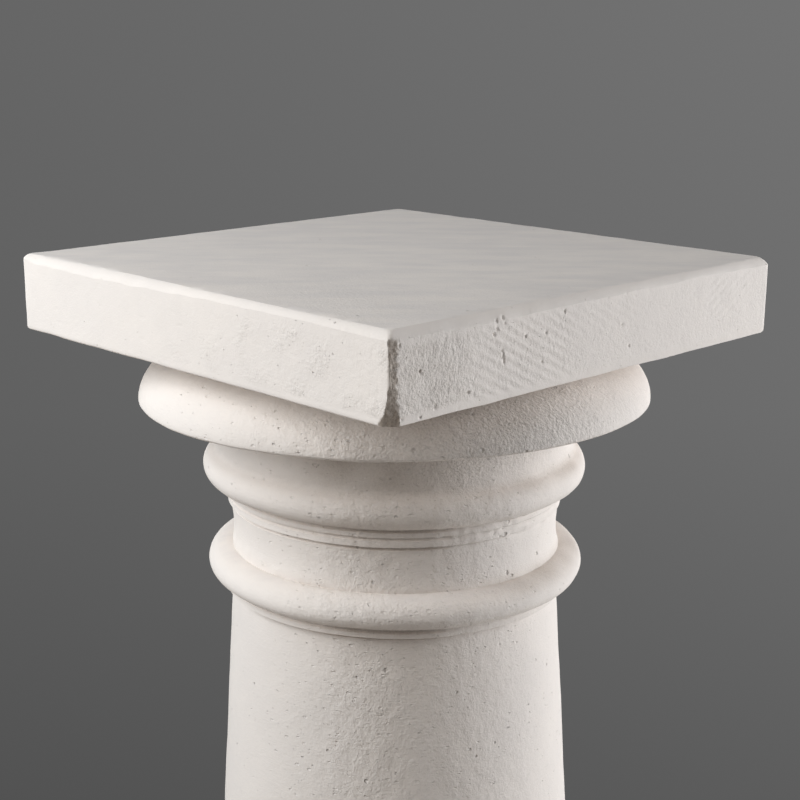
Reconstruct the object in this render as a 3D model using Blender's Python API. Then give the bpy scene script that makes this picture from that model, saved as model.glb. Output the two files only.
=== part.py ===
"""Doric column, cast in plaster as one piece: square slab, turned mouldings, tapering shaft and plain foot.

Metres, +Z up. The origin is at the middle of the underside, and the slab's sides lie along X and Y.
"""
import math

import bmesh
import bpy

# Whole column
COLUMN_HEIGHT = 0.900
TURNING_STEPS = 64
MERGE_DISTANCE = 0.00001

# Slab on top (abacus)
SLAB_SIDE = 0.300
SLAB_THICKNESS = 0.044
SLAB_TOP_CHAMFER = 0.0043
SLAB_EDGE_ANGLES = (160.0, 110.0)
LOWER_EDGE_ROUNDING = 0.0015
CORNER_ROUNDING = 0.0035
EDGE_STEPS = 3

# Echinus: a thick roll that swells out from under the slab and turns in sharply below its widest line
ECHINUS_SETBACK = 0.0036
ECHINUS_TOP_RADIUS = 0.105
ECHINUS_UPPER_HEIGHT = 0.0335
ECHINUS_LIP_HEIGHT = 0.0045
ECHINUS_LIP_WIDTH = 0.0215
ECHINUS_TOP_ANGLE = 56.0
ECHINUS_STEPS = 7
ECHINUS_LIP_STEPS = 5
COVE_HEIGHT = 0.005
COVE_STEPS = 3

# Plain band, then the ring under it
BAND_PROJECTION = 0.0077
BAND_HEIGHT = 0.0217
RING_PROJECTION = 0.0152
RING_UPPER_HEIGHT = 0.0108
RING_LOWER_HEIGHT = 0.0120
RING_TOP_ANGLE = 65.0
RING_FOOT_ANGLE = -85.0
RING_UPPER_STEPS = 3
RING_LOWER_STEPS = 6

# Annulets: thin raised bands with a fine groove above each
ANNULET_HEIGHTS = (0.0045, 0.0056)
ANNULET_PROJECTION = 0.0018
ANNULET_GROOVE_DEPTH = 0.0014
ANNULET_GROOVE_WIDTH = 0.0013

# Neck, which has the shaft's upper radius and is slightly waisted
NECK_HEIGHT = 0.0247
NECK_WAIST = 0.0012
NECK_STEPS = 4

# Astragal and the fillet that carries it
ASTRAGAL_PROJECTION = 0.0140
ASTRAGAL_UPPER_HEIGHT = 0.0098
ASTRAGAL_LOWER_HEIGHT = 0.0098
ASTRAGAL_FOOT_ANGLE = -80.0
ASTRAGAL_STEPS = 5
FILLET_PROJECTION = 0.0045
FILLET_HEIGHT = 0.0052

# Shaft: it tapers upwards and swells a little beyond the straight taper (entasis)
SHAFT_TOP_RADIUS = 0.0960
SHAFT_FOOT_RADIUS = 0.1255
SHAFT_SWELL = 0.0027
SHAFT_STEPS = 9

# Foot: cove, fillet, torus and square plinth
FOOT_COVE_HEIGHT = 0.014
FOOT_COVE_STEPS = 4
FOOT_FILLET_PROJECTION = 0.007
FOOT_FILLET_HEIGHT = 0.009
TORUS_PROJECTION = 0.031
TORUS_HEIGHT = 0.042
TORUS_STEPS = 5
PLINTH_MARGIN = 0.0085
PLINTH_HEIGHT = 0.052

# Plaster
PLASTER_COLOUR = (0.80, 0.78, 0.73, 1.0)
PLASTER_ROUGHNESS = 0.85
SHARP_ANGLE = 28.0

# The four ends of an upright ellipse, as angles on it, in degrees
OUTER_END = 0.0
TOP_END = 90.0
INNER_END = 180.0
BOTTOM_END = -90.0


def clear_scene():
    for old in list(bpy.data.objects):
        bpy.data.objects.remove(old, do_unlink=True)


def plaster():
    """Off-white cast plaster, dull and without metal."""
    material = bpy.data.materials.new("plaster")
    material.use_nodes = True
    shader = material.node_tree.nodes["Principled BSDF"]
    shader.inputs["Base Color"].default_value = PLASTER_COLOUR
    shader.inputs["Roughness"].default_value = PLASTER_ROUGHNESS
    shader.inputs["Metallic"].default_value = 0.0
    return material


def arc(start, end, start_angle, end_angle, steps):
    """Points of an upright ellipse's arc from start to end, given as (radius, height), with start left out."""
    first, last = math.radians(start_angle), math.radians(end_angle)
    half_width = (start[0] - end[0]) / (math.cos(first) - math.cos(last))
    half_height = (start[1] - end[1]) / (math.sin(first) - math.sin(last))
    middle = (start[0] - half_width * math.cos(first), start[1] - half_height * math.sin(first))
    points = []
    for step in range(1, steps + 1):
        angle = first + (last - first) * step / steps
        points.append((middle[0] + half_width * math.cos(angle), middle[1] + half_height * math.sin(angle)))
    return points


class Outline:
    """The turned outline, followed downwards: each move starts where the last one ended."""

    def __init__(self, radius, height):
        self.points = [(0.0, height), (radius, height)]

    @property
    def here(self):
        return self.points[-1]

    def straight(self, radius, drop):
        self.points.append((radius, self.here[1] - drop))

    def curve(self, radius, drop, start_angle, end_angle, steps):
        end = (radius, self.here[1] - drop)
        self.points += arc(self.here, end, start_angle, end_angle, steps)

    def close(self):
        self.points.append((0.0, self.here[1]))


def echinus_and_band(outline):
    widest = SLAB_SIDE / 2 - ECHINUS_SETBACK
    band_radius = SHAFT_TOP_RADIUS + BAND_PROJECTION
    outline.straight(ECHINUS_TOP_RADIUS, SLAB_THICKNESS / 2)
    outline.curve(widest, ECHINUS_UPPER_HEIGHT, ECHINUS_TOP_ANGLE, OUTER_END, ECHINUS_STEPS)
    outline.curve(widest - ECHINUS_LIP_WIDTH, ECHINUS_LIP_HEIGHT, OUTER_END, BOTTOM_END, ECHINUS_LIP_STEPS)
    outline.curve(band_radius, COVE_HEIGHT, TOP_END, INNER_END, COVE_STEPS)
    outline.straight(band_radius, BAND_HEIGHT)


def ring_and_annulets(outline):
    crest = SHAFT_TOP_RADIUS + ANNULET_PROJECTION
    groove = crest - ANNULET_GROOVE_DEPTH
    widest = SHAFT_TOP_RADIUS + RING_PROJECTION
    outline.curve(widest, RING_UPPER_HEIGHT, RING_TOP_ANGLE, OUTER_END, RING_UPPER_STEPS)
    outline.curve(groove, RING_LOWER_HEIGHT, OUTER_END, RING_FOOT_ANGLE, RING_LOWER_STEPS)
    for annulet, height in enumerate(ANNULET_HEIGHTS, 1):
        outline.straight(crest, ANNULET_GROOVE_WIDTH / 2)
        outline.straight(crest, height - ANNULET_GROOVE_WIDTH)
        last = annulet == len(ANNULET_HEIGHTS)
        outline.straight(SHAFT_TOP_RADIUS if last else groove, ANNULET_GROOVE_WIDTH / 2)


def neck_and_astragal(outline):
    widest = SHAFT_TOP_RADIUS + ASTRAGAL_PROJECTION
    fillet_radius = SHAFT_TOP_RADIUS + FILLET_PROJECTION
    for step in range(1, NECK_STEPS + 1):
        waist = NECK_WAIST * math.sin(math.pi * step / NECK_STEPS)
        outline.straight(SHAFT_TOP_RADIUS - waist, NECK_HEIGHT / NECK_STEPS)
    outline.curve(widest, ASTRAGAL_UPPER_HEIGHT, TOP_END, OUTER_END, ASTRAGAL_STEPS)
    outline.curve(fillet_radius, ASTRAGAL_LOWER_HEIGHT, OUTER_END, ASTRAGAL_FOOT_ANGLE, ASTRAGAL_STEPS)
    outline.straight(fillet_radius, FILLET_HEIGHT)
    outline.straight(SHAFT_TOP_RADIUS, 0)


def shaft(outline, foot_height):
    length = outline.here[1] - foot_height
    for step in range(1, SHAFT_STEPS + 1):
        share = step / SHAFT_STEPS
        straight = SHAFT_TOP_RADIUS + (SHAFT_FOOT_RADIUS - SHAFT_TOP_RADIUS) * share
        outline.straight(straight + SHAFT_SWELL * 4 * share * (1 - share), length / SHAFT_STEPS)


def foot(outline):
    fillet_radius = SHAFT_FOOT_RADIUS + FOOT_FILLET_PROJECTION
    widest = SHAFT_FOOT_RADIUS + TORUS_PROJECTION
    outline.curve(fillet_radius, FOOT_COVE_HEIGHT, INNER_END, 360 + BOTTOM_END, FOOT_COVE_STEPS)
    outline.straight(fillet_radius, FOOT_FILLET_HEIGHT)
    outline.curve(widest, TORUS_HEIGHT / 2, TOP_END, OUTER_END, TORUS_STEPS)
    outline.curve(fillet_radius, TORUS_HEIGHT / 2, OUTER_END, BOTTOM_END, TORUS_STEPS)
    outline.straight(fillet_radius, PLINTH_HEIGHT / 2)


def turned_body():
    """Everything between the slab and the plinth, running half-way into both."""
    outline = Outline(ECHINUS_TOP_RADIUS, COLUMN_HEIGHT - SLAB_THICKNESS / 2)
    echinus_and_band(outline)
    ring_and_annulets(outline)
    neck_and_astragal(outline)
    shaft(outline, PLINTH_HEIGHT + TORUS_HEIGHT + FOOT_FILLET_HEIGHT + FOOT_COVE_HEIGHT)
    foot(outline)
    outline.close()
    mesh = bpy.data.meshes.new("column")
    line = [(index, index + 1) for index in range(len(outline.points) - 1)]
    mesh.from_pydata([(radius, 0.0, height) for radius, height in outline.points], line, [])
    body = bpy.data.objects.new("column", mesh)
    bpy.context.collection.objects.link(body)
    turning = body.modifiers.new("turning", "SCREW")
    turning.steps = turning.render_steps = TURNING_STEPS
    turning.use_merge_vertices = True
    turning.merge_threshold = MERGE_DISTANCE
    return body


def rounded_square(bm, half_side, height):
    """One closed loop of edges, a square with its corners rounded off."""
    corner = half_side - CORNER_ROUNDING
    verts = []
    for quarter in range(4):
        for step in range(EDGE_STEPS + 1):
            angle = math.pi / 2 * (quarter + step / EDGE_STEPS)
            middle = math.pi / 4 + math.pi / 2 * quarter
            x = corner * math.copysign(1, math.cos(middle)) + CORNER_ROUNDING * math.cos(angle)
            y = corner * math.copysign(1, math.sin(middle)) + CORNER_ROUNDING * math.sin(angle)
            verts.append(bm.verts.new((x, y, height)))
    return [bm.edges.new((vert, verts[index - 1])) for index, vert in enumerate(verts)]


def square_block(name, side, underside, thickness):
    """A square block with its top edges taken off, its corners softened and its lower edges rounded."""
    top = underside + thickness
    below = (LOWER_EDGE_ROUNDING, underside)
    above = (0.0, top - SLAB_TOP_CHAMFER)
    lower_edge = arc(below, (0.0, underside + LOWER_EDGE_ROUNDING), BOTTOM_END, -INNER_END, EDGE_STEPS)
    upper_edge = arc(above, (SLAB_TOP_CHAMFER, top), *SLAB_EDGE_ANGLES, EDGE_STEPS)
    bm = bmesh.new()
    loops = []
    for inset, height in [below, *lower_edge, above, *upper_edge]:
        loops.append(rounded_square(bm, side / 2 - inset, height))
    for lower, upper in zip(loops, loops[1:]):
        bmesh.ops.bridge_loops(bm, edges=lower + upper)
    bmesh.ops.edgeloop_fill(bm, edges=loops[0])
    bmesh.ops.edgeloop_fill(bm, edges=loops[-1])
    bmesh.ops.recalc_face_normals(bm, faces=bm.faces)
    mesh = bpy.data.meshes.new(name)
    bm.to_mesh(mesh)
    bm.free()
    block = bpy.data.objects.new(name, mesh)
    bpy.context.collection.objects.link(block)
    block.hide_render = True
    block.display_type = "WIRE"
    return block


def unite(body, block):
    union = body.modifiers.new("with " + block.name, "BOOLEAN")
    union.operation = "UNION"
    union.solver = "EXACT"
    union.object = block


def main():
    clear_scene()
    column = turned_body()
    plinth_side = 2 * (SHAFT_FOOT_RADIUS + TORUS_PROJECTION + PLINTH_MARGIN)
    unite(column, square_block("slab_block", SLAB_SIDE, COLUMN_HEIGHT - SLAB_THICKNESS, SLAB_THICKNESS))
    unite(column, square_block("plinth_block", plinth_side, 0.0, PLINTH_HEIGHT))

    cast = bpy.data.meshes.new_from_object(column.evaluated_get(bpy.context.evaluated_depsgraph_get()))
    cast.name = "column cast"
    column.modifiers.clear()
    column.data = cast
    cast.materials.clear()
    cast.materials.append(plaster())
    cast.shade_smooth()
    cast.set_sharp_from_angle(angle=math.radians(SHARP_ANGLE))


main()
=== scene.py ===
"""Doric column in cast plaster: its finish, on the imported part's frame.

Metres, +Z up. The slab's sides lie along X and Y. Its near corner is the one between its +X and its -Y
side.
"""
import math

import bpy
import numpy as np
from mathutils import Euler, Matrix, Vector, geometry, noise


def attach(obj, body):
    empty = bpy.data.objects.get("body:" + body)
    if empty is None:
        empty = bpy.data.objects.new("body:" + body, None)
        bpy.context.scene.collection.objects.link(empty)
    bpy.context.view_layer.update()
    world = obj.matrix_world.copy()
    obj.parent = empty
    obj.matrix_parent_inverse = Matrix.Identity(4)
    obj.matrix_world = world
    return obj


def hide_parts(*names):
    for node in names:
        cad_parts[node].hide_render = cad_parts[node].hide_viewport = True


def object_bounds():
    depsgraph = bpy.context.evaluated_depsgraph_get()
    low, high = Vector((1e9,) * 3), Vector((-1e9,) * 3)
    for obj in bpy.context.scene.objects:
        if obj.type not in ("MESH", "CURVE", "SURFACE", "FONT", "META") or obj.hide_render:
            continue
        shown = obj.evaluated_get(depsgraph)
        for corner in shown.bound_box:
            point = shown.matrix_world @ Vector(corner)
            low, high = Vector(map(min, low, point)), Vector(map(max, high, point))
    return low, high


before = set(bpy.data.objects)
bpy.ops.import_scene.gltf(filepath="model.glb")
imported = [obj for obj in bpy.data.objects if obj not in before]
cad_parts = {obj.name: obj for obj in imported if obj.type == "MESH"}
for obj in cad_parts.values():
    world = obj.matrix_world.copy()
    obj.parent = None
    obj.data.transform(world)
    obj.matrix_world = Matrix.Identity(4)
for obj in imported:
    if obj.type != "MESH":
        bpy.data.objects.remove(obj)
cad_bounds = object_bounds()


# Top slab (abacus), cast in one with the column below it. Its upper edges were scraped flat by hand, its
# +X side was dragged with a toothed scraper while the plaster was soft, and its near corner was knocked
# off later, where dirt has since stained the break.
MM = 0.001
COLUMN_HEIGHT = cad_bounds[1].z
SLAB_SIDE = 300 * MM
SLAB_THICKNESS = 44 * MM
LOWER_EDGE = 1.8 * MM
EASED_EDGE_HEIGHT = 5.0 * MM
EASED_EDGE_INSET = 0.7 * MM
ARRIS = 0.4 * MM
TOP_UNEVENNESS = 0.12 * MM
SIDE_UNEVENNESS = 0.2 * MM
LOWER_EDGE_WAVE = 0.45 * MM
TOP_POINT_SPACING = 8 * MM

# Scraped edge and upright corners, as one walks round the slab: 0 is its left corner, 1 the near corner,
# 2 the right corner and 3 the one behind
EDGE_WALK = [0, 0.04, 0.2, 0.4, 0.6, 0.8, 1, 1.2, 1.4, 1.6, 1.8, 2, 3, 3.96, 4]
SCRAPED_EDGE = np.array([2.7, 4.4, 5.3, 4.5, 3.4, 3.3, 4.4, 4.7, 4.3, 3.8, 3.6, 4.5, 4.3, 4.4, 2.7]) * MM
EDGE_UNEVENNESS = 0.5 * MM
NARROW_EDGE = 3 * MM
WIDE_EDGE = 6 * MM
CORNER_ROUNDING = np.array([2.4, 2.0, 3.2, 3.5, 2.4]) * MM

RIDGE_HALF_WIDTH = 0.95 * MM
DRAG_PITCH = 4.48 * MM
DRAG_LEAN = math.radians(28)
DRAG_OFFSET = 1.93 * MM
DRAG_DEPTH = 0.42 * MM
HATCH_PITCH = 4.74 * MM
HATCH_LEAN = math.radians(-29)
HATCH_OFFSET = 4.0 * MM
HATCH_DEPTH = 0.2 * MM
LEFT_DRAG_LEAN = math.radians(33)
LEFT_DRAG_DEPTH = 0.05 * MM

# Where the scraper was set down, at depths below the top, and how far along the side its marks reach
DRAG_START_DEPTHS = np.array([0, 6, 20, 30, 44]) * MM
DRAG_STARTS = np.array([62, 60, 55, 50, 48]) * MM
DRAG_END = 188 * MM
HATCH_START = 234 * MM
HATCH_END = 288 * MM
FAINT_HATCH_START = 204 * MM

# Places on the +X side, measured from the near corner and down from the top
NICK = np.array([(73.4, 19.0), (75.2, 25.5)]) * MM
NICK_DEPTH = 0.7 * MM
NICK_HALF_WIDTH = 0.8 * MM
LARGE_PORES = np.array([(50.3, 35.8), (28.5, 39.0), (18.8, 20.8), (90.0, 15.0), (102.5, 29.7),
                        (105.0, 15.5), (118.5, 7.0), (164.6, 20.0), (171.0, 32.0), (7.6, 40.5),
                        (19.5, 42.0), (6.0, 7.0)]) * MM
EDGE_PITS = np.array([(66.0, 3.0), (69.0, 4.5), (71.5, 1.5), (73.5, 3.8), (75.2, 6.5), (69.5, 8.5),
                      (67.5, 11.0)]) * MM
SMALL_PIT_COUNT = 240
EDGE_STEP_PLACE = 41.5 * MM
EDGE_STEP_HEIGHT = 0.7 * MM

# How far the break at the near corner runs into each side, at depths below the top
BREAK_DEPTHS = np.array([0, 5, 12, 22, 31, 38, 44]) * MM
BREAK_ON_RIGHT = np.array([5.2, 5.4, 4.6, 4.1, 4.3, 5.6, 8.0]) * MM
BREAK_ON_LEFT = np.array([1.3, 1.3, 0.9, 0.8, 1.5, 3.8, 8.0]) * MM
BREAK_ROUGHNESS = 0.35 * MM


class Skin:
    """The casting's closed skin: rows of points round it, the faces between, each point's finish."""

    def __init__(self):
        self.points = np.zeros((0, 3))
        self.finish = np.zeros((0, 3))
        self.faces = []

    def add(self, points, finish):
        """Adds points with their finish (stains and painted shade, roughness, turning marks), gives their
        numbers.
        """
        first = len(self.points)
        self.points = np.vstack([self.points, points.reshape(-1, 3)])
        self.finish = np.vstack([self.finish, finish.reshape(-1, 3)])
        return np.arange(first, len(self.points)).reshape(points.shape[:-1])

    def wrap(self, rows):
        """Faces between rows of points down the casting, each row once round it from left to right."""
        upper, lower = rows[:-1], rows[1:]
        corners = [upper, lower, np.roll(lower, -1, 1), np.roll(upper, -1, 1)]
        self.faces += np.stack(corners, -1).reshape(-1, 4).tolist()

    def close(self, rim, hole=(), inside=(), facing_up=True):
        """Fills a level place within a rim, round a hole and through any further points inside it."""
        numbers = [*rim, *hole, *inside]
        edges = [(step, (step + 1) % len(rim)) for step in range(len(rim))]
        edges += [(len(rim) + step, len(rim) + (step + 1) % len(hole)) for step in range(len(hole))]
        flat = [Vector(self.points[number][:2]) for number in numbers]
        within_edges = 1
        made = geometry.delaunay_2d_cdt(flat, edges, [], within_edges, 1e-8)
        round_hole = set(hole)
        for triangle in made[2]:
            corners = [int(numbers[made[3][point][0]]) for point in triangle]
            if not round_hole.issuperset(corners):
                self.faces.append(corners if facing_up else corners[::-1])


class Outline:
    """An outline followed downwards in points of (distance from the axis, height)."""

    def __init__(self, radius, height):
        self.points = [(radius, height)]

    def straight(self, radius, drop, steps=1):
        start = self.points[-1]
        for step in range(1, steps + 1):
            share = step / steps
            self.points.append((start[0] + (radius - start[0]) * share, start[1] - drop * share))

    def curve(self, radius, drop, start_angle, end_angle, steps):
        """An upright ellipse's arc. Its angles, in degrees, are 0 at its outer, 90 at its upper end."""
        start = self.points[-1]
        first, last = math.radians(start_angle), math.radians(end_angle)
        half_width = (start[0] - radius) / (math.cos(first) - math.cos(last))
        half_height = drop / (math.sin(first) - math.sin(last))
        across = start[0] - half_width * math.cos(first)
        middle = start[1] - half_height * math.sin(first)
        for step in range(1, steps + 1):
            angle = first + (last - first) * step / steps
            place = across + half_width * math.cos(angle), middle + half_height * math.sin(angle)
            self.points.append(place)

    def rows(self):
        """Distances, heights, and the outward direction at each point as two parts, outward and up."""
        radius, height = np.array(self.points).T
        out, up = -np.gradient(height), np.gradient(radius)
        length = np.hypot(out, up)
        return np.array([radius, height, out / length, up / length])[..., None]


def fade(value, start, end):
    """0 up to start and 1 from end on, smooth in between. Start may be the higher one."""
    share = np.clip((value - start) / (end - start), 0, 1)
    return share * share * (3 - 2 * share)


def lumps(points, size, seed=0):
    """Smooth unevenness of about -1 to 1, in lumps of the given size."""
    shift = Vector((seed * 7.31, seed * 3.17, seed * 5.93))
    values = [noise.noise(Vector(point) + shift) for point in points.reshape(-1, 3) / size]
    return np.clip(1.6 * np.array(values), -1, 1).reshape(points.shape[:-1])


def dents(points, centres, radius, depth):
    """How far round pores sink the surface in at each point."""
    sunk = np.zeros(points.shape[:-1])
    for centre in centres:
        distance = np.linalg.norm(points - centre, axis=-1)
        sunk = np.maximum(sunk, depth * fade(distance, radius, 0.3 * radius))
    return sunk


def stops(length, *stretches):
    """Shares along a length from 0 to 1, in stretches given as (their end, the spacing in them)."""
    places = [0.0]
    for end, spacing in stretches:
        steps = max(1, round((end - places[-1]) / spacing))
        places += list(np.linspace(places[-1], end, steps + 1)[1:])
    return np.array(places) / length


def block_outline(side, height, thickness, edge, face_steps):
    """A square block's outline, from the rim of its top to the end of its lower edge."""
    outline = Outline(side / 2 - edge, height)
    outline.curve(side / 2, edge, 66, 24, 6)
    outline.straight(side / 2, ARRIS)
    outline.straight(side / 2, thickness - edge - ARRIS - LOWER_EDGE, face_steps)
    outline.curve(side / 2 - LOWER_EDGE, LOWER_EDGE, 0, -90, 3)
    return outline.rows()


def square_loop(side_stops, corner_steps):
    """Once round a square: each column's place on the inner square, outward direction and way round."""
    inner, outward, walked = [], [], []
    for quarter, places in enumerate(side_stops):
        turn = math.pi / 2 * (quarter - 1)
        out = np.array([math.cos(turn), math.sin(turn)])
        along = np.array([-math.sin(turn), math.cos(turn)])
        for place in places:
            inner.append(out + along * (2 * place - 1))
            outward.append(out)
            walked.append(quarter + place)
        for step in range(1, corner_steps[quarter]):
            angle = turn + math.pi / 2 * step / corner_steps[quarter]
            inner.append(out + along)
            outward.append((math.cos(angle), math.sin(angle)))
            walked.append(quarter + 1)
    return np.array(inner), np.array(outward), np.array(walked)


def square_rows(outline_rows, rounding, inner, outward):
    """Rows of points and their outward directions round a square block with this outline."""
    radius, height, out, up = outline_rows
    level = (radius - rounding)[..., None] * inner + rounding[:, None] * outward
    points = np.dstack([level, np.broadcast_to(height, level.shape[:2])])
    directions = np.dstack([out[..., None] * outward, np.broadcast_to(up, level.shape[:2])])
    return points, directions


def between_ridges(points, along, below, lean, pitch, offset):
    """A toothed scraper's marks: 0 on the ridges left by its gaps, 1 between them. They lean down along."""
    across = below * math.cos(lean) - along * math.sin(lean) - offset
    across = across + 0.3 * MM * lumps(points, 25 * MM, 3)
    from_ridge = np.abs((across + pitch / 2) % pitch - pitch / 2)
    return 1 - np.exp(-((from_ridge / RIDGE_HALF_WIDTH) ** 2))


front_left = stops(SLAB_SIDE, (SLAB_SIDE - 12 * MM, 1.9 * MM), (SLAB_SIDE, 0.7 * MM))
front_right = stops(SLAB_SIDE, (12 * MM, 0.7 * MM), (180 * MM, 0.85 * MM), (SLAB_SIDE, 1.25 * MM))
behind = stops(SLAB_SIDE, (SLAB_SIDE, 5 * MM))
inner, outward, walked = square_loop([front_left, front_right, behind, behind], [8, 6, 5, 5])
narrow = block_outline(SLAB_SIDE, COLUMN_HEIGHT, SLAB_THICKNESS, NARROW_EDGE, 41)
wide = block_outline(SLAB_SIDE, COLUMN_HEIGHT, SLAB_THICKNESS, WIDE_EDGE, 41)
edge = np.interp(walked, EDGE_WALK, SCRAPED_EDGE)
edge = edge + EDGE_UNEVENNESS * lumps(np.insert(inner * SLAB_SIDE / 2, 2, 0, axis=1), 16 * MM, 14)
edge_rows = narrow + (wide - narrow) * (edge - NARROW_EDGE) / (WIDE_EDGE - NARROW_EDGE)
rounding = np.interp(walked, range(5), CORNER_ROUNDING)
slab, slab_directions = square_rows(edge_rows, rounding, inner, outward)

along = slab[..., 1] + SLAB_SIDE / 2
along_left = SLAB_SIDE / 2 - slab[..., 0]
below = COLUMN_HEIGHT - slab[..., 2]
on_right = fade(slab_directions[..., 0], 0.7, 0.97)
on_left = fade(-slab_directions[..., 1], 0.7, 0.97)

drag_start = np.interp(below, DRAG_START_DEPTHS, DRAG_STARTS)
drag_cover = fade(along - drag_start, -3 * MM, 5 * MM) * (1 - 0.65 * fade(along, 112 * MM, 134 * MM))
drag_cover *= fade(along, DRAG_END, DRAG_END - 20 * MM) * fade(below, 4 * MM, 7 * MM)
lifted_below = fade(along, 120 * MM, 140 * MM) * fade(below, 14 * MM, 24 * MM)
drag_cover *= fade(below, 42 * MM, 39 * MM) * (1 - lifted_below)
drag_cover *= 0.8 + 0.4 * lumps(slab, 20 * MM, 5)
drag = drag_cover * between_ridges(slab, along, below, DRAG_LEAN, DRAG_PITCH, DRAG_OFFSET)
hatch_cover = fade(along, HATCH_START, HATCH_START + 10 * MM)
hatch_cover *= fade(along, HATCH_END, HATCH_END - 12 * MM) * fade(below, 33 * MM, 26 * MM)
faint_hatch = fade(along, FAINT_HATCH_START, FAINT_HATCH_START + 8 * MM)
faint_hatch *= fade(along, HATCH_START, HATCH_START - 8 * MM) * fade(below, 18 * MM, 12 * MM)
hatch_cover += 0.6 * faint_hatch
hatch_cover *= fade(below, 4 * MM, 7 * MM) * (0.8 + 0.4 * lumps(slab, 14 * MM, 6))
hatch = hatch_cover * between_ridges(slab, along, below, HATCH_LEAN, HATCH_PITCH, HATCH_OFFSET)
left_cover = fade(below, 5 * MM, 9 * MM) * fade(along_left, 290 * MM, 220 * MM)
left_cover = np.clip(left_cover * (0.5 + 0.7 * lumps(slab, 26 * MM, 13)), 0, 1)
left_drag = left_cover * between_ridges(slab, along_left, below, LEFT_DRAG_LEAN, DRAG_PITCH, 0)
sandy = on_right * fade(along, 66 * MM, 36 * MM) + 0.5 * on_left * fade(along_left, 90 * MM, 20 * MM)
smoothed_edges = fade(below, 40.5 * MM, 38 * MM) * (0.4 + 0.6 * fade(below, 6 * MM, 10 * MM))
sandy *= smoothed_edges

nick_line = NICK[1] - NICK[0]
nick_share = np.clip(((along - NICK[0][0]) * nick_line[0] + (below - NICK[0][1]) * nick_line[1])
                     / (nick_line @ nick_line), 0, 1)
nick_distance = np.hypot(along - NICK[0][0] - nick_share * nick_line[0],
                         below - NICK[0][1] - nick_share * nick_line[1])


def on_right_side(places):
    """Points of the slab's +X side, from places given as (from the near corner, down from the top)."""
    half = SLAB_SIDE / 2
    return np.array([(half, place - half, COLUMN_HEIGHT - depth) for place, depth in places])


chance = np.random.default_rng(11)
pit_weight = (0.1 + sandy + 0.2 * on_right).ravel()
pit_share = pit_weight / pit_weight.sum()
pits = slab.reshape(-1, 3)[chance.choice(pit_weight.size, SMALL_PIT_COUNT, replace=False, p=pit_share)]
slab_depth = SIDE_UNEVENNESS * (0.6 * lumps(slab, 34 * MM, 1) + 0.35 * lumps(slab, 11 * MM, 2))
slab_depth += on_right * (DRAG_DEPTH * drag + HATCH_DEPTH * hatch)
slab_depth += on_left * LEFT_DRAG_DEPTH * left_drag
slab_depth += sandy * (0.04 * MM * lumps(slab, 2.0 * MM, 7) + 0.09 * MM * lumps(slab, 5.5 * MM, 8))
slab_depth += on_right * NICK_DEPTH * fade(nick_distance, NICK_HALF_WIDTH, 0.3 * MM)
slab_depth += dents(slab, on_right_side(LARGE_PORES), 1.1 * MM, 0.8 * MM)
slab_depth += dents(slab, on_right_side(EDGE_PITS), 1.3 * MM, 0.9 * MM)
slab_depth += dents(slab, pits, 0.8 * MM, 0.3 * MM)
eased = fade(below, SLAB_THICKNESS - EASED_EDGE_HEIGHT, SLAB_THICKNESS)
slab_depth += on_right * EASED_EDGE_INSET * eased
slab = slab - slab_directions * slab_depth[..., None]

edge_share = fade(below, SLAB_THICKNESS - 14 * MM, SLAB_THICKNESS)
edge_step = EDGE_STEP_HEIGHT * fade(along, EDGE_STEP_PLACE, EDGE_STEP_PLACE + 2.5 * MM)
edge_step *= on_right * fade(along, 90 * MM, 45 * MM)
edge_wave = 0.6 + 0.4 * lumps(slab, 26 * MM, 4) + on_right * 0.5 * lumps(slab, 5 * MM, 17)
slab[..., 2] += edge_share * (LOWER_EDGE_WAVE * np.maximum(edge_wave, 0) + edge_step)

right_reach = np.interp(below, BREAK_DEPTHS, BREAK_ON_RIGHT)
left_reach = np.interp(below, BREAK_DEPTHS, BREAK_ON_LEFT)
reach = np.hypot(right_reach, left_reach)
break_out, break_back = right_reach / reach, left_reach / reach
break_plane = break_out * SLAB_SIDE / 2 + break_back * (SLAB_SIDE / 2 - right_reach)
break_plane -= BREAK_ROUGHNESS * (0.6 + lumps(slab, 2.2 * MM, 9) + 0.5 * lumps(slab, 5 * MM, 10))
lost = np.maximum(break_out * slab[..., 0] - break_back * slab[..., 1] - break_plane, 0)
slab[..., 0] -= lost * break_out
slab[..., 1] += lost * break_back
slab[..., 2] = np.minimum(slab[..., 2], COLUMN_HEIGHT)
broken = fade(lost, 0, 0.3 * MM) * fade(below, 2.5 * MM, 5.5 * MM)

sandiness = smoothed_edges * on_right * (0.17 + 0.22 * fade(along, 190 * MM, 100 * MM) + 0.4 * sandy)
crumbled = 0.15 + 0.6 * np.maximum(lumps(slab, 14 * MM, 16), 0)
sandiness += 0.8 * broken + crumbled * on_left * fade(along_left, 200 * MM, 60 * MM) * smoothed_edges
stained = broken + on_right * sandy * (0.1 + 0.13 * lumps(slab, 6 * MM, 15))
slab_finish = np.dstack([np.clip(stained, 0, 1), np.clip(sandiness, 0, 1), np.zeros(slab.shape[:2])])
skin = Skin()
slab_rows = skin.add(slab, slab_finish)
skin.wrap(slab_rows)

top_reach = SLAB_SIDE / 2 - WIDE_EDGE - TOP_POINT_SPACING / 2
top_line = np.linspace(-top_reach, top_reach, round(2 * top_reach / TOP_POINT_SPACING) + 1)
top_x, top_y = np.meshgrid(top_line, top_line)
top = np.dstack([top_x, top_y, np.full(top_x.shape, COLUMN_HEIGHT)])
top[..., 2] -= TOP_UNEVENNESS * (0.5 + 0.5 * lumps(top, 45 * MM, 12))
top_rough = 0.2 * fade(top_x - top_y, 20 * MM, 240 * MM)
top_finish = np.dstack([np.zeros(top_x.shape), top_rough, np.zeros(top_x.shape)])
top_points = skin.add(top, top_finish).ravel()
skin.close(slab_rows[0], inside=top_points)


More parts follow.
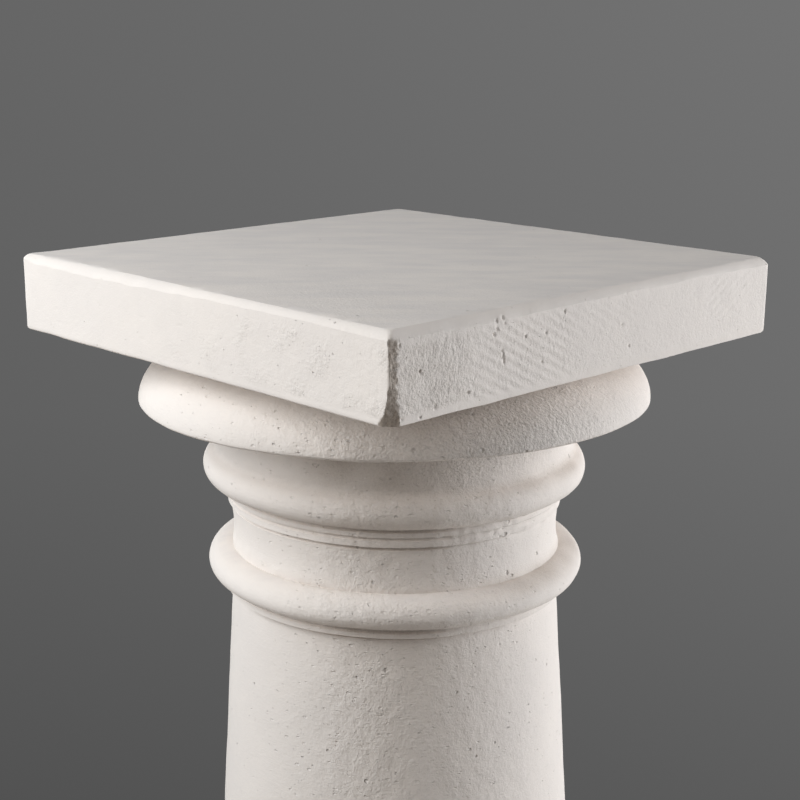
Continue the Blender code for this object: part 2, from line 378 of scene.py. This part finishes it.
# Turned mouldings of the capital and the shaft, run in the clay with a template and then cast: echinus,
# band, ring, two annulets, neck, astragal on its fillet, and a plain tapering shaft. The mould's two
# halves met at an upright seam, and the right-hand half was worn, so its fine cuts have come out faint.
SHAFT_TOP_RADIUS = 96.0 * MM
SHAFT_FOOT_RADIUS = 125.5 * MM
SHAFT_SWELL = 2.7 * MM
ECHINUS_TOP_RADIUS = 105 * MM
ECHINUS_RADIUS = SLAB_SIDE / 2 - 3.6 * MM
ECHINUS_LIP_WIDTH = 21.5 * MM
BAND_RADIUS = SHAFT_TOP_RADIUS + 7.7 * MM
RING_RADIUS = SHAFT_TOP_RADIUS + 15.4 * MM
UPPER_ANNULET_RADIUS = SHAFT_TOP_RADIUS + 2.6 * MM
LOWER_ANNULET_RADIUS = SHAFT_TOP_RADIUS + 1.7 * MM
UPPER_ANNULET_HEIGHT = 4.8 * MM
LOWER_ANNULET_HEIGHT = 5.8 * MM
CUT_DEPTH = 1.15 * MM
CUT_HEIGHT = 0.8 * MM
CUT_UPPER_SLOPE = 0.9 * MM
CUT_LOWER_SLOPE = 0.8 * MM
WHOLE_CUT = CUT_UPPER_SLOPE + CUT_HEIGHT + CUT_LOWER_SLOPE
QUIRK_WIDTH = 1.7 * MM
QUIRK_HEIGHT = 0.6 * MM
NECK_HEIGHT = 24.0 * MM
NECK_WAIST = 1.2 * MM
ASTRAGAL_RADIUS = SHAFT_TOP_RADIUS + 14.2 * MM
FILLET_RADIUS = SHAFT_TOP_RADIUS + 4.5 * MM
FILLET_HEIGHT = 7.6 * MM
TORUS_RADIUS = SHAFT_FOOT_RADIUS + 31.0 * MM
FOOT_FILLET_RADIUS = SHAFT_FOOT_RADIUS + 7.0 * MM
FOOT_HEIGHT = 117 * MM
PLINTH_HEIGHT = 52 * MM

# The mouldings stray from true: how far they are raised at the left and at the near side, and moved to
# the right, at depths below the top
STRAY_DEPTHS = np.array([44, 60, 82, 100, 119, 142, 166, 176, 192, 230, 320, 480]) * MM
RAISED_AT_LEFT = np.array([0, 0, -0.6, 0, 0.9, 0.9, 0.9, 0.9, 0.9, 0, 0, 0]) * MM
RAISED_NEAR = np.array([0, 0, 0.7, 1.0, 1.2, 1.3, 1.1, 0.8, 0.4, 0, 0, 0]) * MM
MOVED_RIGHT = np.array([0, 0, -0.1, -0.2, -0.3, -0.1, 0.2, 0.45, 0.1, 0.1, 0.7, 0]) * MM

# How coarse the grain is, at angles to the right of the near corner
GRAIN_ANGLES = [-180, -70, -45, -25, -5, 12, 30, 60, 180]
GRAIN_SHARES = [0.1, 0, 0.08, 0.38, 1.0, 0.85, 0.45, 0.12, 0.1]

# Where dirt and painted shade lie, where the band ends and the coarser grain above it, at depths below the
# top
HOLLOW_ABOVE_RING = 111 * MM
HOLLOW_ABOVE_ASTRAGAL = 169 * MM
RING_UNDERSIDE = 126.5 * MM
ASTRAGAL_UNDERSIDE = 184 * MM
BAND_END = 112 * MM

SEAM_ANGLE = math.radians(-28)
SEAM_ROUGHNESS = 0.2 * MM
FLAKE_DEPTH = 0.45 * MM
LEFTOVER_DEPTH = 164 * MM
LEFTOVER_HEIGHT = 1.1 * MM
WORN_EDGE = 2.0 * MM
NEAR_CORNER_ANGLE = math.radians(-45)
FRONT_SPAN = math.radians(156)
FRONT_COLUMNS = 150
BACK_COLUMNS = 64


def cut_and_next(outline, next_radius):
    """A narrow cut behind the surface above, and the edge of the next surface below it."""
    outline.straight(next_radius - CUT_DEPTH, CUT_UPPER_SLOPE, 2)
    outline.straight(next_radius - CUT_DEPTH, CUT_HEIGHT)
    outline.straight(next_radius, CUT_LOWER_SLOPE, 2)


turned = Outline(ECHINUS_TOP_RADIUS, COLUMN_HEIGHT - SLAB_THICKNESS)
turned.curve(ECHINUS_RADIUS, 33.5 * MM, 56, 0, 26)
turned.curve(ECHINUS_RADIUS - ECHINUS_LIP_WIDTH, 4.5 * MM, 0, -90, 14)
turned.curve(BAND_RADIUS, 5 * MM, 90, 180, 11)
turned.straight(BAND_RADIUS, 19.5 * MM, 8)
turned.curve(BAND_RADIUS + 2.9 * MM, 4.5 * MM, 180, 245, 4)
turned.curve(RING_RADIUS, 8.5 * MM, 65, 0, 6)
turned.curve(UPPER_ANNULET_RADIUS + QUIRK_WIDTH, 10.4 * MM, 0, -82, 11)
turned.straight(UPPER_ANNULET_RADIUS + QUIRK_WIDTH, QUIRK_HEIGHT, 2)
cut_and_next(turned, UPPER_ANNULET_RADIUS)
turned.straight(UPPER_ANNULET_RADIUS, UPPER_ANNULET_HEIGHT - WHOLE_CUT, 2)
cut_and_next(turned, LOWER_ANNULET_RADIUS)
turned.straight(LOWER_ANNULET_RADIUS, LOWER_ANNULET_HEIGHT - WHOLE_CUT, 3)
cut_and_next(turned, SHAFT_TOP_RADIUS)
neck_top = turned.points[-1][1]
for height in np.linspace(neck_top, neck_top - NECK_HEIGHT, 13)[1:]:
    waist = NECK_WAIST * math.sin(math.pi * (neck_top - height) / NECK_HEIGHT)
    turned.points.append((SHAFT_TOP_RADIUS - waist, height))
turned.curve(ASTRAGAL_RADIUS, 9.8 * MM, 90, 0, 11)
turned.curve(FILLET_RADIUS - CUT_DEPTH / 2, 8.6 * MM, 0, -80, 9)
cut_and_next(turned, FILLET_RADIUS)
turned.straight(FILLET_RADIUS, FILLET_HEIGHT - 2 * WHOLE_CUT, 2)
cut_and_next(turned, SHAFT_TOP_RADIUS)
shaft_top = turned.points[-1][1]
shaft_length = shaft_top - FOOT_HEIGHT
for share in stops(shaft_length, (12 * MM, 2.4 * MM), (160 * MM, 5 * MM), (shaft_length, 17 * MM))[1:]:
    swell = SHAFT_SWELL * 4 * share * (1 - share)
    radius = SHAFT_TOP_RADIUS + (SHAFT_FOOT_RADIUS - SHAFT_TOP_RADIUS) * share + swell
    turned.points.append((radius, shaft_top - shaft_length * share))
# The foot below the shaft: cove, fillet and torus. The photo doesn't show it, so it is plain.
turned.curve(FOOT_FILLET_RADIUS, 14 * MM, 180, 270, 6)
turned.straight(FOOT_FILLET_RADIUS, 9 * MM, 3)
turned.curve(TORUS_RADIUS, 21 * MM, 90, 0, 10)
turned.curve(FOOT_FILLET_RADIUS, 21 * MM, 0, -90, 10)

radius, height, out, up = turned.rows()
front_start = NEAR_CORNER_ANGLE - FRONT_SPAN / 2
angles = np.concatenate([
    np.linspace(front_start, front_start + FRONT_SPAN, FRONT_COLUMNS, endpoint=False),
    np.linspace(front_start + FRONT_SPAN, front_start + 2 * math.pi, BACK_COLUMNS, endpoint=False)])
from_seam = (angles - SEAM_ANGLE + math.pi) % (2 * math.pi) - math.pi
worn = fade(from_seam, math.radians(-3), math.radians(4)) * fade(from_seam, math.pi, math.radians(170))

distance_down = np.concatenate([[0], np.cumsum(np.hypot(np.diff(radius[:, 0]), np.diff(height[:, 0])))])
spread = np.exp(-0.5 * ((distance_down[:, None] - distance_down) / WORN_EDGE) ** 2)
spread = spread * np.gradient(distance_down)
worn_radius = (spread @ radius) / spread.sum(1)[:, None]
depth_down = COLUMN_HEIGHT - height
worn_share = 0.8 * worn * fade(depth_down, 215 * MM, 205 * MM) * fade(depth_down, 92 * MM, BAND_END)
cavity = np.clip((worn_radius - radius) / CUT_DEPTH, 0, 1)
round_cuts = (spread @ cavity) / spread.sum(1)[:, None]
row_radius = radius * (1 - worn_share) + worn_radius * worn_share

around = np.dstack([np.cos(angles), np.sin(angles)])
body = np.dstack([row_radius[..., None] * around, np.broadcast_to(height, row_radius.shape)])
body_directions = np.dstack([out[..., None] * around, np.broadcast_to(up, row_radius.shape)])

near_seam = np.exp(-0.5 * ((from_seam + math.radians(3)) / math.radians(2)) ** 2)
near_seam = near_seam * fade(depth_down, 260 * MM, 190 * MM)
body_depth = 0.30 * MM * lumps(body, 45 * MM, 21) + 0.10 * MM * lumps(body, 13 * MM, 22)
body_depth += near_seam * SEAM_ROUGHNESS * lumps(body, 3.5 * MM, 23)
flaky = fade(from_seam, math.radians(-4), math.radians(2))
flaky = flaky * fade(from_seam, math.radians(38), math.radians(22))
flaky = flaky * fade(depth_down, 124 * MM, 128 * MM) * fade(depth_down, 144 * MM, 140 * MM)
body_depth += flaky * FLAKE_DEPTH * lumps(body, 3.8 * MM, 26)
leftover = fade(angles, math.radians(-68), math.radians(-84))
leftover = leftover * fade(np.abs(depth_down - LEFTOVER_DEPTH), 5 * MM, 0)
body_depth -= leftover * LEFTOVER_HEIGHT * np.maximum(lumps(body, 9 * MM, 27), 0)
body_depth *= fade(depth_down, SLAB_THICKNESS, SLAB_THICKNESS + 4 * MM)
body_depth *= fade(height, PLINTH_HEIGHT, PLINTH_HEIGHT + 6 * MM)
body = body - body_directions * body_depth[..., None]

to_right = np.array([1, 1]) / math.sqrt(2)
to_near = np.array([1, -1]) / math.sqrt(2)
left_share = -(body[..., :2] @ to_right) / RING_RADIUS
near_share = (body[..., :2] @ to_near) / RING_RADIUS
body[..., 2] += np.interp(depth_down, STRAY_DEPTHS, RAISED_AT_LEFT) * left_share
body[..., 2] += np.interp(depth_down, STRAY_DEPTHS, RAISED_NEAR) * np.maximum(near_share, 0)
body[..., :2] += np.interp(depth_down, STRAY_DEPTHS, MOVED_RIGHT)[..., None] * to_right

# Painted shade, with some dust and old dirt in it: under the slab, in the cuts and below them, on the
# undersides of the ring and the astragal, on the band below the echinus, and on the right in the hollows
# above both. The grain is coarsest near the corner, where the mould was worn most.
from_near = np.degrees(angles - NEAR_CORNER_ANGLE)
on_right_half = fade(from_near, 15, 50) * fade(from_near, 165, 125)
# Hollows above the ring and the astragal, which get dust and painted shade, mostly on the right.
hollow = np.exp(-0.5 * ((depth_down - HOLLOW_ABOVE_RING) / (2.8 * MM)) ** 2)
hollow = hollow + np.exp(-0.5 * ((depth_down - HOLLOW_ABOVE_ASTRAGAL) / (3.0 * MM)) ** 2)
# Painted shade on the undersides of the ring and the astragal, near the front.
shaded_undersides = fade(np.abs(depth_down - RING_UNDERSIDE), 8 * MM, 4 * MM)
shaded_undersides = shaded_undersides + fade(np.abs(depth_down - ASTRAGAL_UNDERSIDE), 8 * MM, 4 * MM)
shaded_undersides = shaded_undersides * fade(from_near, -30, -10) * fade(from_near, 20, 8)
# Painted shade on the neck and the shaft just below the annulets' and the fillet's cuts.
shade_below_fillet = fade(depth_down, 190 * MM, 196 * MM) * fade(depth_down, 260 * MM, 200 * MM)
shade_below_annulets = fade(depth_down, 139 * MM, 142 * MM) * fade(depth_down, 148 * MM, 143 * MM)
shade_below_cuts = 0.15 * shade_below_fillet + 0.25 * shade_below_annulets
# Brown tint and painted shade under the slab, just right of the near corner.
browned_and_shaded = fade(depth_down, 78 * MM, 62 * MM) * fade(from_near, -4, 8) * fade(from_near, 42, 20)
# Painted shade on the band under the echinus's lip, near the front.
band_painted_shade = fade(depth_down, 88 * MM, 92 * MM) * fade(depth_down, BAND_END, 100 * MM)
band_painted_shade = band_painted_shade * fade(np.abs(from_near + 6), 32, 6)
# Dirt and painted shade on the echinus right under the slab.
dirt_and_painted_shade = 0.2 * fade(depth_down, 65 * MM, 52 * MM) * (0.7 + 0.6 * lumps(body, 4.5 * MM, 29))
dirt_and_painted_shade = dirt_and_painted_shade + hollow * (0.02 + 0.4 * on_right_half)
dirt_and_painted_shade = dirt_and_painted_shade + 0.5 * band_painted_shade + 0.25 * browned_and_shaded + 0.24 * shaded_undersides
dirt_and_painted_shade = dirt_and_painted_shade + shade_below_cuts * fade(np.abs(from_near), 30, 6)
dirt_and_painted_shade = dirt_and_painted_shade * (0.8 + 0.5 * lumps(body, 16 * MM, 25))
# Dirt and painted shade in the cuts, less on the left, where the light reaches into them.
dirt_and_shade_in_cuts = 0.22 * cavity + 0.5 * round_cuts * (1 + 0.6 * lumps(body, 5 * MM, 30))
dirt_and_shade_in_cuts = dirt_and_shade_in_cuts * (1 - 0.6 * fade(from_near, -30, -65))
dirt_and_painted_shade = dirt_and_painted_shade + dirt_and_shade_in_cuts * (1 - worn * (0.6 - 0.6 * lumps(body, 7 * MM, 28)))
crumbly_echinus = fade(depth_down, BAND_END, 88 * MM) * fade(from_near, -15, 5)
body_rough = np.interp(from_near, GRAIN_ANGLES, GRAIN_SHARES) * (1 + 0.7 * crumbly_echinus)
turning = 1 - fade(depth_down, BAND_END, 92 * MM) * fade(from_near, -25, 8)
# The first channel carries this dirt and painted shade, the second the grain, the third turning marks.
body_finish = np.dstack([np.clip(dirt_and_painted_shade, 0, 1), np.clip(body_rough + 0.2 * near_seam, 0, 1), turning])
body_rows = skin.add(body, body_finish)
skin.wrap(body_rows)
skin.close(slab_rows[-1], hole=body_rows[0], facing_up=False)


# Plinth: the square foot that the column stands on, cast in one with it, 330 mm square. The photo's lower
# edge cuts it off, so it follows the slab with softer, plainer faces.
PLINTH_SIDE = 2 * (TORUS_RADIUS + 8.5 * MM)
PLINTH_EDGE = 4.3 * MM
PLINTH_ROUNDING = 3.5 * MM

plinth_rows = block_outline(PLINTH_SIDE, PLINTH_HEIGHT, PLINTH_HEIGHT, PLINTH_EDGE, 10)
plinth_stops = [stops(PLINTH_SIDE, (PLINTH_SIDE, 4.9 * MM))] * 4
inner, outward, walked = square_loop(plinth_stops, [6] * 4)
rounding = np.full(len(walked), PLINTH_ROUNDING)
plinth, plinth_directions = square_rows(plinth_rows, rounding, inner, outward)
plinth_depth = 0.35 * MM * (0.5 + 0.5 * lumps(plinth, 40 * MM, 31))
plinth_depth = plinth_depth + 0.1 * MM * (1 + lumps(plinth, 12 * MM, 32))
plinth_depth *= fade(plinth[..., 2], 0, 3 * MM)
plinth_depth *= fade(plinth[..., 2], PLINTH_HEIGHT, PLINTH_HEIGHT - 3 * MM)
plinth = plinth - plinth_directions * plinth_depth[..., None]
plinth_rows = skin.add(plinth, np.zeros_like(plinth))
skin.wrap(plinth_rows)
skin.close(plinth_rows[0], hole=body_rows[-1])
skin.close(plinth_rows[-1], facing_up=False)


# The finished cast: bare gypsum plaster, dull and off-white, with fine sandy grain, air pits, faint marks
# left by turning and a greyer bloom on its level top. The broken corner is darker, where dirt is in the
# raw plaster. Painted shade darkens the air pits and, mixed with some dirt, the mouldings' hollows, cuts
# and undersides.
PLASTER = (0.865, 0.797, 0.74, 1)
PLASTER_GREY = (0.785, 0.727, 0.688, 1)
# Colour of the painted shade in air pits and of the grain's dark specks
PIT_SHADOW_AND_SPECKS = (0.46, 0.41, 0.36, 1)
# Browns of the break's dirt, also used for the dirt and painted shade on the mouldings
STAIN_AND_SHADE_BROWN = (0.43, 0.365, 0.31, 1)
STAIN_AND_SHADE_PALE = (0.58, 0.51, 0.45, 1)
PLASTER_ROUGHNESS = 0.9
PLASTER_SHINE = 0.25
SHARP_ANGLE = math.radians(27)

# Larger flaws on the turned mouldings: angle round the column in degrees, then depth below the top and
# radius in millimetres
FLAWS = [(-4.8, 164.3, 1.5), (-2.6, 165.9, 1.1), (12.4, 159.6, 1.3), (-6.2, 139.4, 1.3),
         (-5.4, 132.5, 1.0), (26.1, 108.1, 1.2), (-18.4, 77.4, 1.4), (-27.4, 74.1, 1.1),
         (-40.6, 72.7, 1.1), (-60.3, 79.3, 1.4), (-57.8, 78.3, 1.2), (-68.2, 81.0, 1.0),
         (-48.3, 150.8, 0.9), (-51.5, 160.6, 1.1),
         (-47.3, 211.5, 1.3), (-56.9, 214.9, 0.9), (-53.1, 275.3, 1.4), (-65.8, 262.1, 1.1),
         (-43.5, 269.8, 0.9), (-19.9, 260.7, 1.1), (-17.6, 262.5, 0.9), (-10.6, 261.0, 1.0),
         (-23.8, 227.3, 0.9), (18.8, 231.7, 0.9)]


def add_node(tree, kind, inputs=None, **settings):
    """Adds a shader node, with each named input either linked or set to a value."""
    made = tree.nodes.new("ShaderNode" + kind)
    for name, value in settings.items():
        setattr(made, name, value)
    for socket, value in (inputs or {}).items():
        if isinstance(value, bpy.types.NodeSocket):
            tree.links.new(value, made.inputs[socket])
        else:
            made.inputs[socket].default_value = value
    return made


def calculate(tree, operation, first, second=0.0):
    return add_node(tree, "Math", {0: first, 1: second}, operation=operation).outputs[0]


def between(tree, value, start, end, low=0.0, high=1.0):
    return add_node(tree, "MapRange", {0: value, 1: start, 2: end, 3: low, 4: high}).outputs[0]


def blend_colours(tree, share, first, second):
    return add_node(tree, "Mix", {0: share, 6: first, 7: second}, data_type="RGBA").outputs[2]


def clouds(tree, places, size, detail=2.0, roughness=0.5):
    """Noise with features of the given size, which has to be in the same unit as the places."""
    inputs = {"Vector": places, "Scale": 1 / size, "Detail": detail, "Roughness": roughness}
    return add_node(tree, "TexNoise", inputs).outputs["Fac"]


def ruffled(tree, places, size, reach):
    """Places pushed about a little, so that round pits come out ragged."""
    noise_inputs = {"Vector": places, "Scale": 1 / size, "Detail": 1.0}
    push = add_node(tree, "TexNoise", noise_inputs).outputs["Color"]
    push = add_node(tree, "VectorMath", {0: push, 1: (-0.5, -0.5, -0.5)}, operation="ADD").outputs[0]
    push = add_node(tree, "VectorMath", {0: push, "Scale": 2 * reach}, operation="SCALE").outputs[0]
    return add_node(tree, "VectorMath", {0: places, 1: push}, operation="ADD").outputs[0]


def air_pits(tree, places, spacing, largest, amount, crowding):
    """Air pits: 1 inside a pit. Amount is the share of cells that have one, where pits crowd most."""
    cells = add_node(tree, "TexVoronoi", {"Vector": places, "Scale": 1 / spacing})
    luck = add_node(tree, "SeparateColor", {0: cells.outputs["Color"]}).outputs[0]
    least_luck = calculate(tree, "SUBTRACT", 1.0, calculate(tree, "MULTIPLY", crowding, amount))
    size = between(tree, luck, least_luck, 1.001, 0, largest)
    inside = calculate(tree, "SUBTRACT", size, cells.outputs["Distance"])
    return between(tree, inside, 0, 0.45 * largest)


def flaws(tree, places):
    """Pits at the known flaws, each on the nearest point of the turned body."""
    deepest = None
    body_angles = np.degrees(angles)
    for angle, depth, size in FLAWS:
        column = np.argmin(np.abs(body_angles - angle))
        row = np.argmin(np.abs(COLUMN_HEIGHT - body[:, column, 2] - depth * MM))
        centre = {0: places, 1: tuple(body[row, column])}
        distance = add_node(tree, "VectorMath", centre, operation="DISTANCE").outputs["Value"]
        pit = between(tree, distance, size * MM, 0.4 * size * MM)
        deepest = pit if deepest is None else calculate(tree, "MAXIMUM", deepest, pit)
    return deepest


def cast_plaster():
    material = bpy.data.materials.new("cast plaster")
    material.use_nodes = True
    tree = material.node_tree
    shader = tree.nodes["Principled BSDF"]
    places = add_node(tree, "TexCoord").outputs["Object"]
    stain_and_shade, rough, turning = (add_node(tree, "Attribute", attribute_name=finish).outputs["Fac"]
                             for finish in ("stain_and_shade", "rough", "turning"))
    facing = add_node(tree, "NewGeometry").outputs["Normal"]
    upward = between(tree, add_node(tree, "SeparateXYZ", {0: facing}).outputs["Z"], 0.85, 0.97)

    wiped = add_node(tree, "Mapping", {"Vector": places, "Rotation": (0, 0, math.radians(45)),
                                       "Scale": (3.0, 1.0, 1.0)}, vector_type="TEXTURE").outputs[0]
    stretched = add_node(tree, "Mapping", {"Vector": places, "Scale": (0.12, 0.12, 1.0)}).outputs[0]
    ragged = ruffled(tree, places, 1.3 * MM, 0.55 * MM)
    flattened = add_node(tree, "Mapping", {"Vector": ragged, "Scale": (0.75, 0.75, 1.45)}).outputs[0]
    broad = clouds(tree, places, 45 * MM, 3)
    streaks = clouds(tree, wiped, 16 * MM, 5, 0.62)
    turned_marks = clouds(tree, stretched, 1.3 * MM, 3, 0.6)
    mottle = clouds(tree, places, 7 * MM, 3, 0.6)
    rough = calculate(tree, "MULTIPLY", rough, between(tree, mottle, 0.38, 0.6, 0.6, 1.15))
    coarse = calculate(tree, "MULTIPLY", rough, calculate(tree, "SUBTRACT", 1.0, turning))
    lumpy = clouds(tree, places, 2.4 * MM, 2)
    grain = clouds(tree, places, 1.0 * MM, 3, 0.65)
    crowding = between(tree, clouds(tree, places, 30 * MM, 2), 0.42, 0.62, 0.04, 0.4)
    crowding = calculate(tree, "ADD", crowding, calculate(tree, "MULTIPLY", rough, 0.7))
    large = air_pits(tree, flattened, 5 * MM, 0.17, 0.4, crowding)
    small = air_pits(tree, flattened, 1.7 * MM, 0.26, 0.5, crowding)
    chips = air_pits(tree, flattened, 2.9 * MM, 0.4, 0.8, calculate(tree, "MULTIPLY", rough, turning))
    known = flaws(tree, ragged)
    large = calculate(tree, "MAXIMUM", large, known)

    grey = between(tree, broad, 0.35, 0.75, 0, 0.4)
    grey_top = calculate(tree, "MULTIPLY", between(tree, streaks, 0.40, 0.68), upward)
    grey = calculate(tree, "ADD", grey, grey_top)
    colour = blend_colours(tree, grey, PLASTER, PLASTER_GREY)
    colour = blend_colours(tree, between(tree, mottle, 0.3, 0.8, 0, 0.25), colour, PLASTER_GREY)
    # Painted shade in the air pits, lighter on faces turned up, and dark specks in the grain where it is
    # coarse.
    pit_shadow_and_specks = calculate(tree, "MAXIMUM", large, calculate(tree, "MULTIPLY", small, 0.6))
    pit_shadow_and_specks = calculate(tree, "MULTIPLY", pit_shadow_and_specks, between(tree, upward, 0, 1, 0.24, 0.1))
    specks = calculate(tree, "MULTIPLY", between(tree, grain, 0.56, 0.3, 0, 0.4), coarse)
    pit_shadow_and_specks = calculate(tree, "MAXIMUM", pit_shadow_and_specks, specks)
    colour = blend_colours(tree, pit_shadow_and_specks, colour, PIT_SHADOW_AND_SPECKS)
    # Towards brown: the break's and slab's stains, and the mouldings' dirt and painted shade.
    dirt_and_shade_colour = blend_colours(tree, between(tree, grain, 0.35, 0.65), STAIN_AND_SHADE_BROWN, STAIN_AND_SHADE_PALE)
    colour = blend_colours(tree, stain_and_shade, colour, dirt_and_shade_colour)
    tree.links.new(colour, shader.inputs["Base Color"])

    gritty = calculate(tree, "MULTIPLY", rough, 0.25)
    gritty = calculate(tree, "ADD", calculate(tree, "MULTIPLY", coarse, 0.2), gritty)
    relief = calculate(tree, "MULTIPLY", grain, calculate(tree, "ADD", gritty, 0.14))
    bumpy = calculate(tree, "MULTIPLY", rough, 0.2)
    bumpy = calculate(tree, "ADD", calculate(tree, "MULTIPLY", coarse, 0.4), bumpy)
    bumpy = calculate(tree, "MULTIPLY", lumpy, calculate(tree, "ADD", bumpy, 0.1))
    relief = calculate(tree, "ADD", relief, bumpy)
    crumbs = add_node(tree, "TexVoronoi", {"Vector": ragged, "Scale": 1 / (1.9 * MM)}).outputs["Distance"]
    crumbs = calculate(tree, "MULTIPLY", crumbs, calculate(tree, "MULTIPLY", coarse, 0.35))
    relief = calculate(tree, "SUBTRACT", relief, crumbs)
    marks = calculate(tree, "MULTIPLY", turning, between(tree, rough, 0, 0.8, 0.08, 0.3))
    marks = calculate(tree, "MULTIPLY", turned_marks, marks)
    relief = calculate(tree, "ADD", relief, marks)
    soft = calculate(tree, "MULTIPLY", mottle, calculate(tree, "MULTIPLY", rough, turning))
    relief = calculate(tree, "ADD", relief, calculate(tree, "MULTIPLY", soft, 0.36))
    relief = calculate(tree, "SUBTRACT", relief, calculate(tree, "MULTIPLY", large, 0.8))
    relief = calculate(tree, "SUBTRACT", relief, calculate(tree, "MULTIPLY", small, 0.4))
    relief = calculate(tree, "SUBTRACT", relief, calculate(tree, "MULTIPLY", chips, 0.36))
    bump = add_node(tree, "Bump", {"Height": relief, "Distance": MM, "Strength": 1.0})
    tree.links.new(bump.outputs[0], shader.inputs["Normal"])
    shader.inputs["Roughness"].default_value = PLASTER_ROUGHNESS
    shader.inputs["Specular IOR Level"].default_value = PLASTER_SHINE
    return material


cast_mesh = bpy.data.meshes.new("column_cast")
cast_mesh.from_pydata(skin.points.tolist(), [], skin.faces)
for name, values in zip(("stain_and_shade", "rough", "turning"), skin.finish.T):
    attribute = cast_mesh.attributes.new(name, "FLOAT", "POINT")
    attribute.data.foreach_set("value", values.astype(np.float32))
cast_mesh.shade_smooth()
cast_mesh.set_sharp_from_angle(angle=SHARP_ANGLE)
cast_mesh.materials.append(cast_plaster())
column_cast = bpy.data.objects.new("column_cast", cast_mesh)
bpy.context.collection.objects.link(column_cast)
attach(column_cast, "root")
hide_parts("column")


# Floor: a plain round board, painted a pale matt beige, that the column stands on. The photo doesn't
# show it, but it throws some light up under the mouldings.
FLOOR_RADIUS = 0.95
FLOOR_SIDES = 96
FLOOR_COLOUR = (0.66, 0.60, 0.54, 1)
FLOOR_ROUGHNESS = 0.9

floor_mesh = bpy.data.meshes.new("floor")
turns = [2 * math.pi * step / FLOOR_SIDES for step in range(FLOOR_SIDES)]
rim = [(FLOOR_RADIUS * math.cos(turn), FLOOR_RADIUS * math.sin(turn), 0) for turn in turns]
floor_mesh.from_pydata(rim, [], [range(FLOOR_SIDES)])
floor_paint = bpy.data.materials.new("floor paint")
floor_paint.use_nodes = True
floor_shader = floor_paint.node_tree.nodes["Principled BSDF"]
floor_shader.inputs["Base Color"].default_value = FLOOR_COLOUR
floor_shader.inputs["Roughness"].default_value = FLOOR_ROUGHNESS
floor_mesh.materials.append(floor_paint)
floor = bpy.data.objects.new("floor", floor_mesh)
bpy.context.collection.objects.link(floor)


# Backdrop: plain grey studio paper all round, a little darker low down and to the camera's left. Its
# shades are given by how far the view rises, from -1 straight down to 1 straight up.
BACKDROP = [(-0.55, 0.082), (-0.25, 0.132), (0.0, 0.147), (1.0, 0.147)]
BACKDROP_LEFT = 0.88
BACKDROP_RIGHT = 1.18

backdrop = bpy.data.worlds.new("grey backdrop")
backdrop.use_nodes = True
bpy.context.scene.world = backdrop
tree = backdrop.node_tree
direction = add_node(tree, "TexCoord").outputs["Generated"]
rise = add_node(tree, "SeparateXYZ", {0: direction}).outputs["Z"]
shades = add_node(tree, "ValToRGB", {0: between(tree, rise, -1, 1)})
for step, (place, shade) in enumerate(BACKDROP):
    ramp_stops = shades.color_ramp.elements
    stop = ramp_stops[step] if step < len(ramp_stops) else ramp_stops.new((place + 1) / 2)
    stop.position = (place + 1) / 2
    stop.color = (shade, shade, shade, 1)
rightward = {0: direction, 1: (0.707, 0.707, 0)}
rightward = add_node(tree, "VectorMath", rightward, operation="DOT_PRODUCT").outputs["Value"]
strength = between(tree, rightward, -0.3, 0.3, BACKDROP_LEFT, BACKDROP_RIGHT)
tree.links.new(shades.outputs[0], tree.nodes["Background"].inputs["Color"])
tree.links.new(strength, tree.nodes["Background"].inputs["Strength"])


# Studio light: large soft boxes, on the left and low on the right, with a little warmer light from the
# left front. Each is given by its bearing from the near corner's direction, its rise, distance, size,
# power and colour.
LIGHT_AIM = Vector((0, 0, COLUMN_HEIGHT - 120 * MM))
COOL = (0.81, 0.912, 1.0)
WARM = (1.0, 0.88, 0.76)
WHITE = (0.935, 0.965, 1.0)
LIGHTS = {
    "left box": (-75, 28, 1.2, 0.82, 11.3, COOL),
    "left front box": (-55, 28, 1.2, 0.82, 4.8, WARM),
    "right box": (95, 8, 1.5, 1.0, 18.8, WHITE),
    "low right box": (95, -12, 1.2, 0.82, 2.2, WHITE),
}


def soft_box(name, bearing, rise, distance, size, power, colour):
    lamp = bpy.data.lights.new(name, "AREA")
    lamp.shape = "SQUARE"
    lamp.size = size
    lamp.energy = power
    lamp.color = colour
    box = bpy.data.objects.new(name, lamp)
    turn, lift = NEAR_CORNER_ANGLE + math.radians(bearing), math.radians(rise)
    away = Vector((math.cos(turn) * math.cos(lift), math.sin(turn) * math.cos(lift), math.sin(lift)))
    box.location = LIGHT_AIM + away * distance
    box.rotation_euler = away.to_track_quat("Z", "Y").to_euler()
    bpy.context.collection.objects.link(box)
    return box


for name, facts in LIGHTS.items():
    soft_box(name, *facts)


# Camera: just above the slab's level, on the diagonal through its near corner, looking down a little. Its
# place, angles in degrees and lens were worked out from the slab's edges and the mouldings' ellipses.
CAMERA_PLACE = (602.8 * MM, -589.7 * MM, 1033.4 * MM)
CAMERA_HEADING = 45.433
CAMERA_PITCH = 14.512
CAMERA_ROLL = 0.197
LENS = 67.52
SENSOR_WIDTH = 36

camera = bpy.data.objects.new("camera", bpy.data.cameras.new("camera"))
camera.data.lens = LENS
camera.data.sensor_width = SENSOR_WIDTH
camera.data.clip_start = 0.01
camera.location = CAMERA_PLACE
level = Euler((math.radians(90 - CAMERA_PITCH), 0, math.radians(CAMERA_HEADING))).to_matrix()
roll = Euler((0, 0, math.radians(CAMERA_ROLL))).to_matrix()
camera.rotation_euler = (level @ roll).to_euler()
bpy.context.collection.objects.link(camera)
bpy.context.scene.camera = camera
bpy.context.scene.view_settings.view_transform = "Standard"
